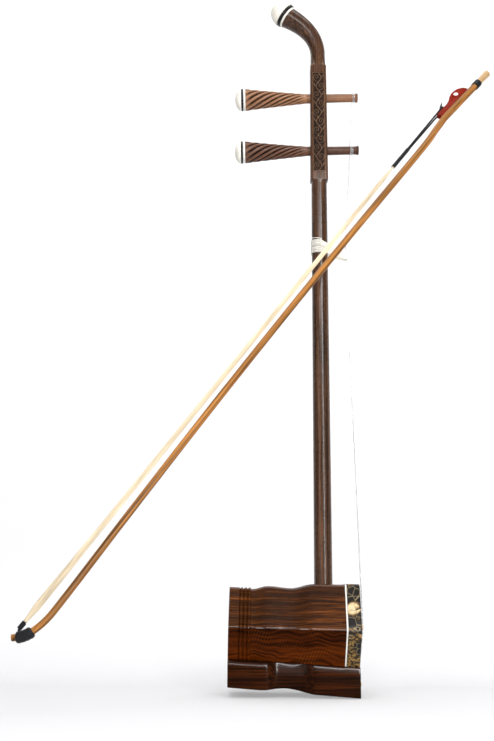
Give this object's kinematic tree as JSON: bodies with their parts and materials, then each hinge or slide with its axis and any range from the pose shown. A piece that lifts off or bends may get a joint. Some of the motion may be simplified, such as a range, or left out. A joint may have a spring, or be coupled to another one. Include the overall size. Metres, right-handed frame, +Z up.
{
  "type": "erhu with bow",
  "caption": "Two-string bowed spike fiddle with a hexagonal wooden resonator, snakeskin front, tuning pegs and a horsehair bow held between the strings.",
  "frame": {"origin": "on the underside of the base's front foot, straight below the neck's axis", "axes": "+Z up along the neck, +X to the snakeskin front and the strings, +Y away from the side that the bow's tip is on"},
  "size_m": [0.5048, 0.266, 0.778],
  "materials": {
    "dark_wood": "satin",
    "base_wood": "satin",
    "neck_wood": "satin",
    "upper_peg_wood": "satin",
    "lower_peg_wood": "satin",
    "pale_wood": "matte",
    "reed": "satin",
    "bone": "polished",
    "white_inlay": "polished",
    "black_horn": "polished",
    "pearl": "polished",
    "red_frog": "polished",
    "snakeskin": "satin",
    "string_steel": "polished",
    "steel": "satin",
    "brass": "polished",
    "thread": "matte",
    "horsehair": "matte",
    "black_cord": "matte"
  },
  "bodies": {
    "instrument": {"neck": "neck_wood", "head_white_ring": "white_inlay", "head_black_ring": "black_horn", "head_cap": "bone", "stave_top": "dark_wood", "stave_upper_near": "dark_wood", "stave_lower_near": "dark_wood", "stave_bottom": "dark_wood", "stave_lower_far": "dark_wood", "stave_upper_far": "dark_wood", "front_inlay": "white_inlay", "snakeskin": "snakeskin", "sound_window": "dark_wood", "base": "base_wood", "bridge": "pale_wood", "tail_pin_inner": "brass", "tail_pin_outer": "brass", "inner_string": "string_steel", "outer_string": "string_steel", "qianjin": "thread"},
    "upper_tuner": {"upper_peg": "upper_peg_wood", "upper_peg_white_ring": "white_inlay", "upper_peg_black_ring": "black_horn", "upper_peg_cap": "bone"},
    "lower_tuner": {"lower_peg": "lower_peg_wood", "lower_peg_white_ring": "white_inlay", "lower_peg_black_ring": "black_horn", "lower_peg_cap": "bone"},
    "bow": {"bow_stick": "reed", "bow_tip_wrap": "black_cord", "bow_hair": "horsehair", "hair_tip_knot": "black_cord", "bow_band": "black_cord"},
    "frog_block": {"frog": "red_frog", "frog_eye_near": "pearl", "frog_eye_far": "pearl", "frog_hook": "black_horn", "frog_eyelet": "brass", "hair_loop": "black_cord", "hair_binding": "black_cord"},
    "button": {"end_button": "pale_wood", "tension_screw": "steel"}
  },
  "joints": [
    {"name": "upper_peg_turn", "type": "hinge", "parent": "instrument", "child": "upper_tuner", "pos_m": [0, 0, 0.6545], "axis": [0.9997, 0, 0.0244], "continuous": true},
    {"name": "lower_peg_turn", "type": "hinge", "parent": "instrument", "child": "lower_tuner", "pos_m": [0, 0, 0.5901], "axis": [0.9997, 0, 0.0244], "continuous": true},
    {"name": "bow_draw", "type": "slide", "parent": "instrument", "child": "bow", "axis": [0.5531, 0.3003, 0.7771], "range_m": [-0.08, 0.4]},
    {"name": "button_turn", "type": "hinge", "parent": "bow", "child": "button", "pos_m": [0.15666, 0.05885, 0.65961], "axis": [0.6157, 0.2712, 0.7398], "range_deg": [0, 2166]},
    {"name": "frog_slide", "type": "slide", "parent": "bow", "child": "frog_block", "axis": [0.6157, 0.2712, 0.7398], "range_m": [-0.0042, 0]}
  ],
  "couplings": [
    {"joint": "button_turn", "follows": "frog_slide", "rad_per_m": -9000}
  ]
}
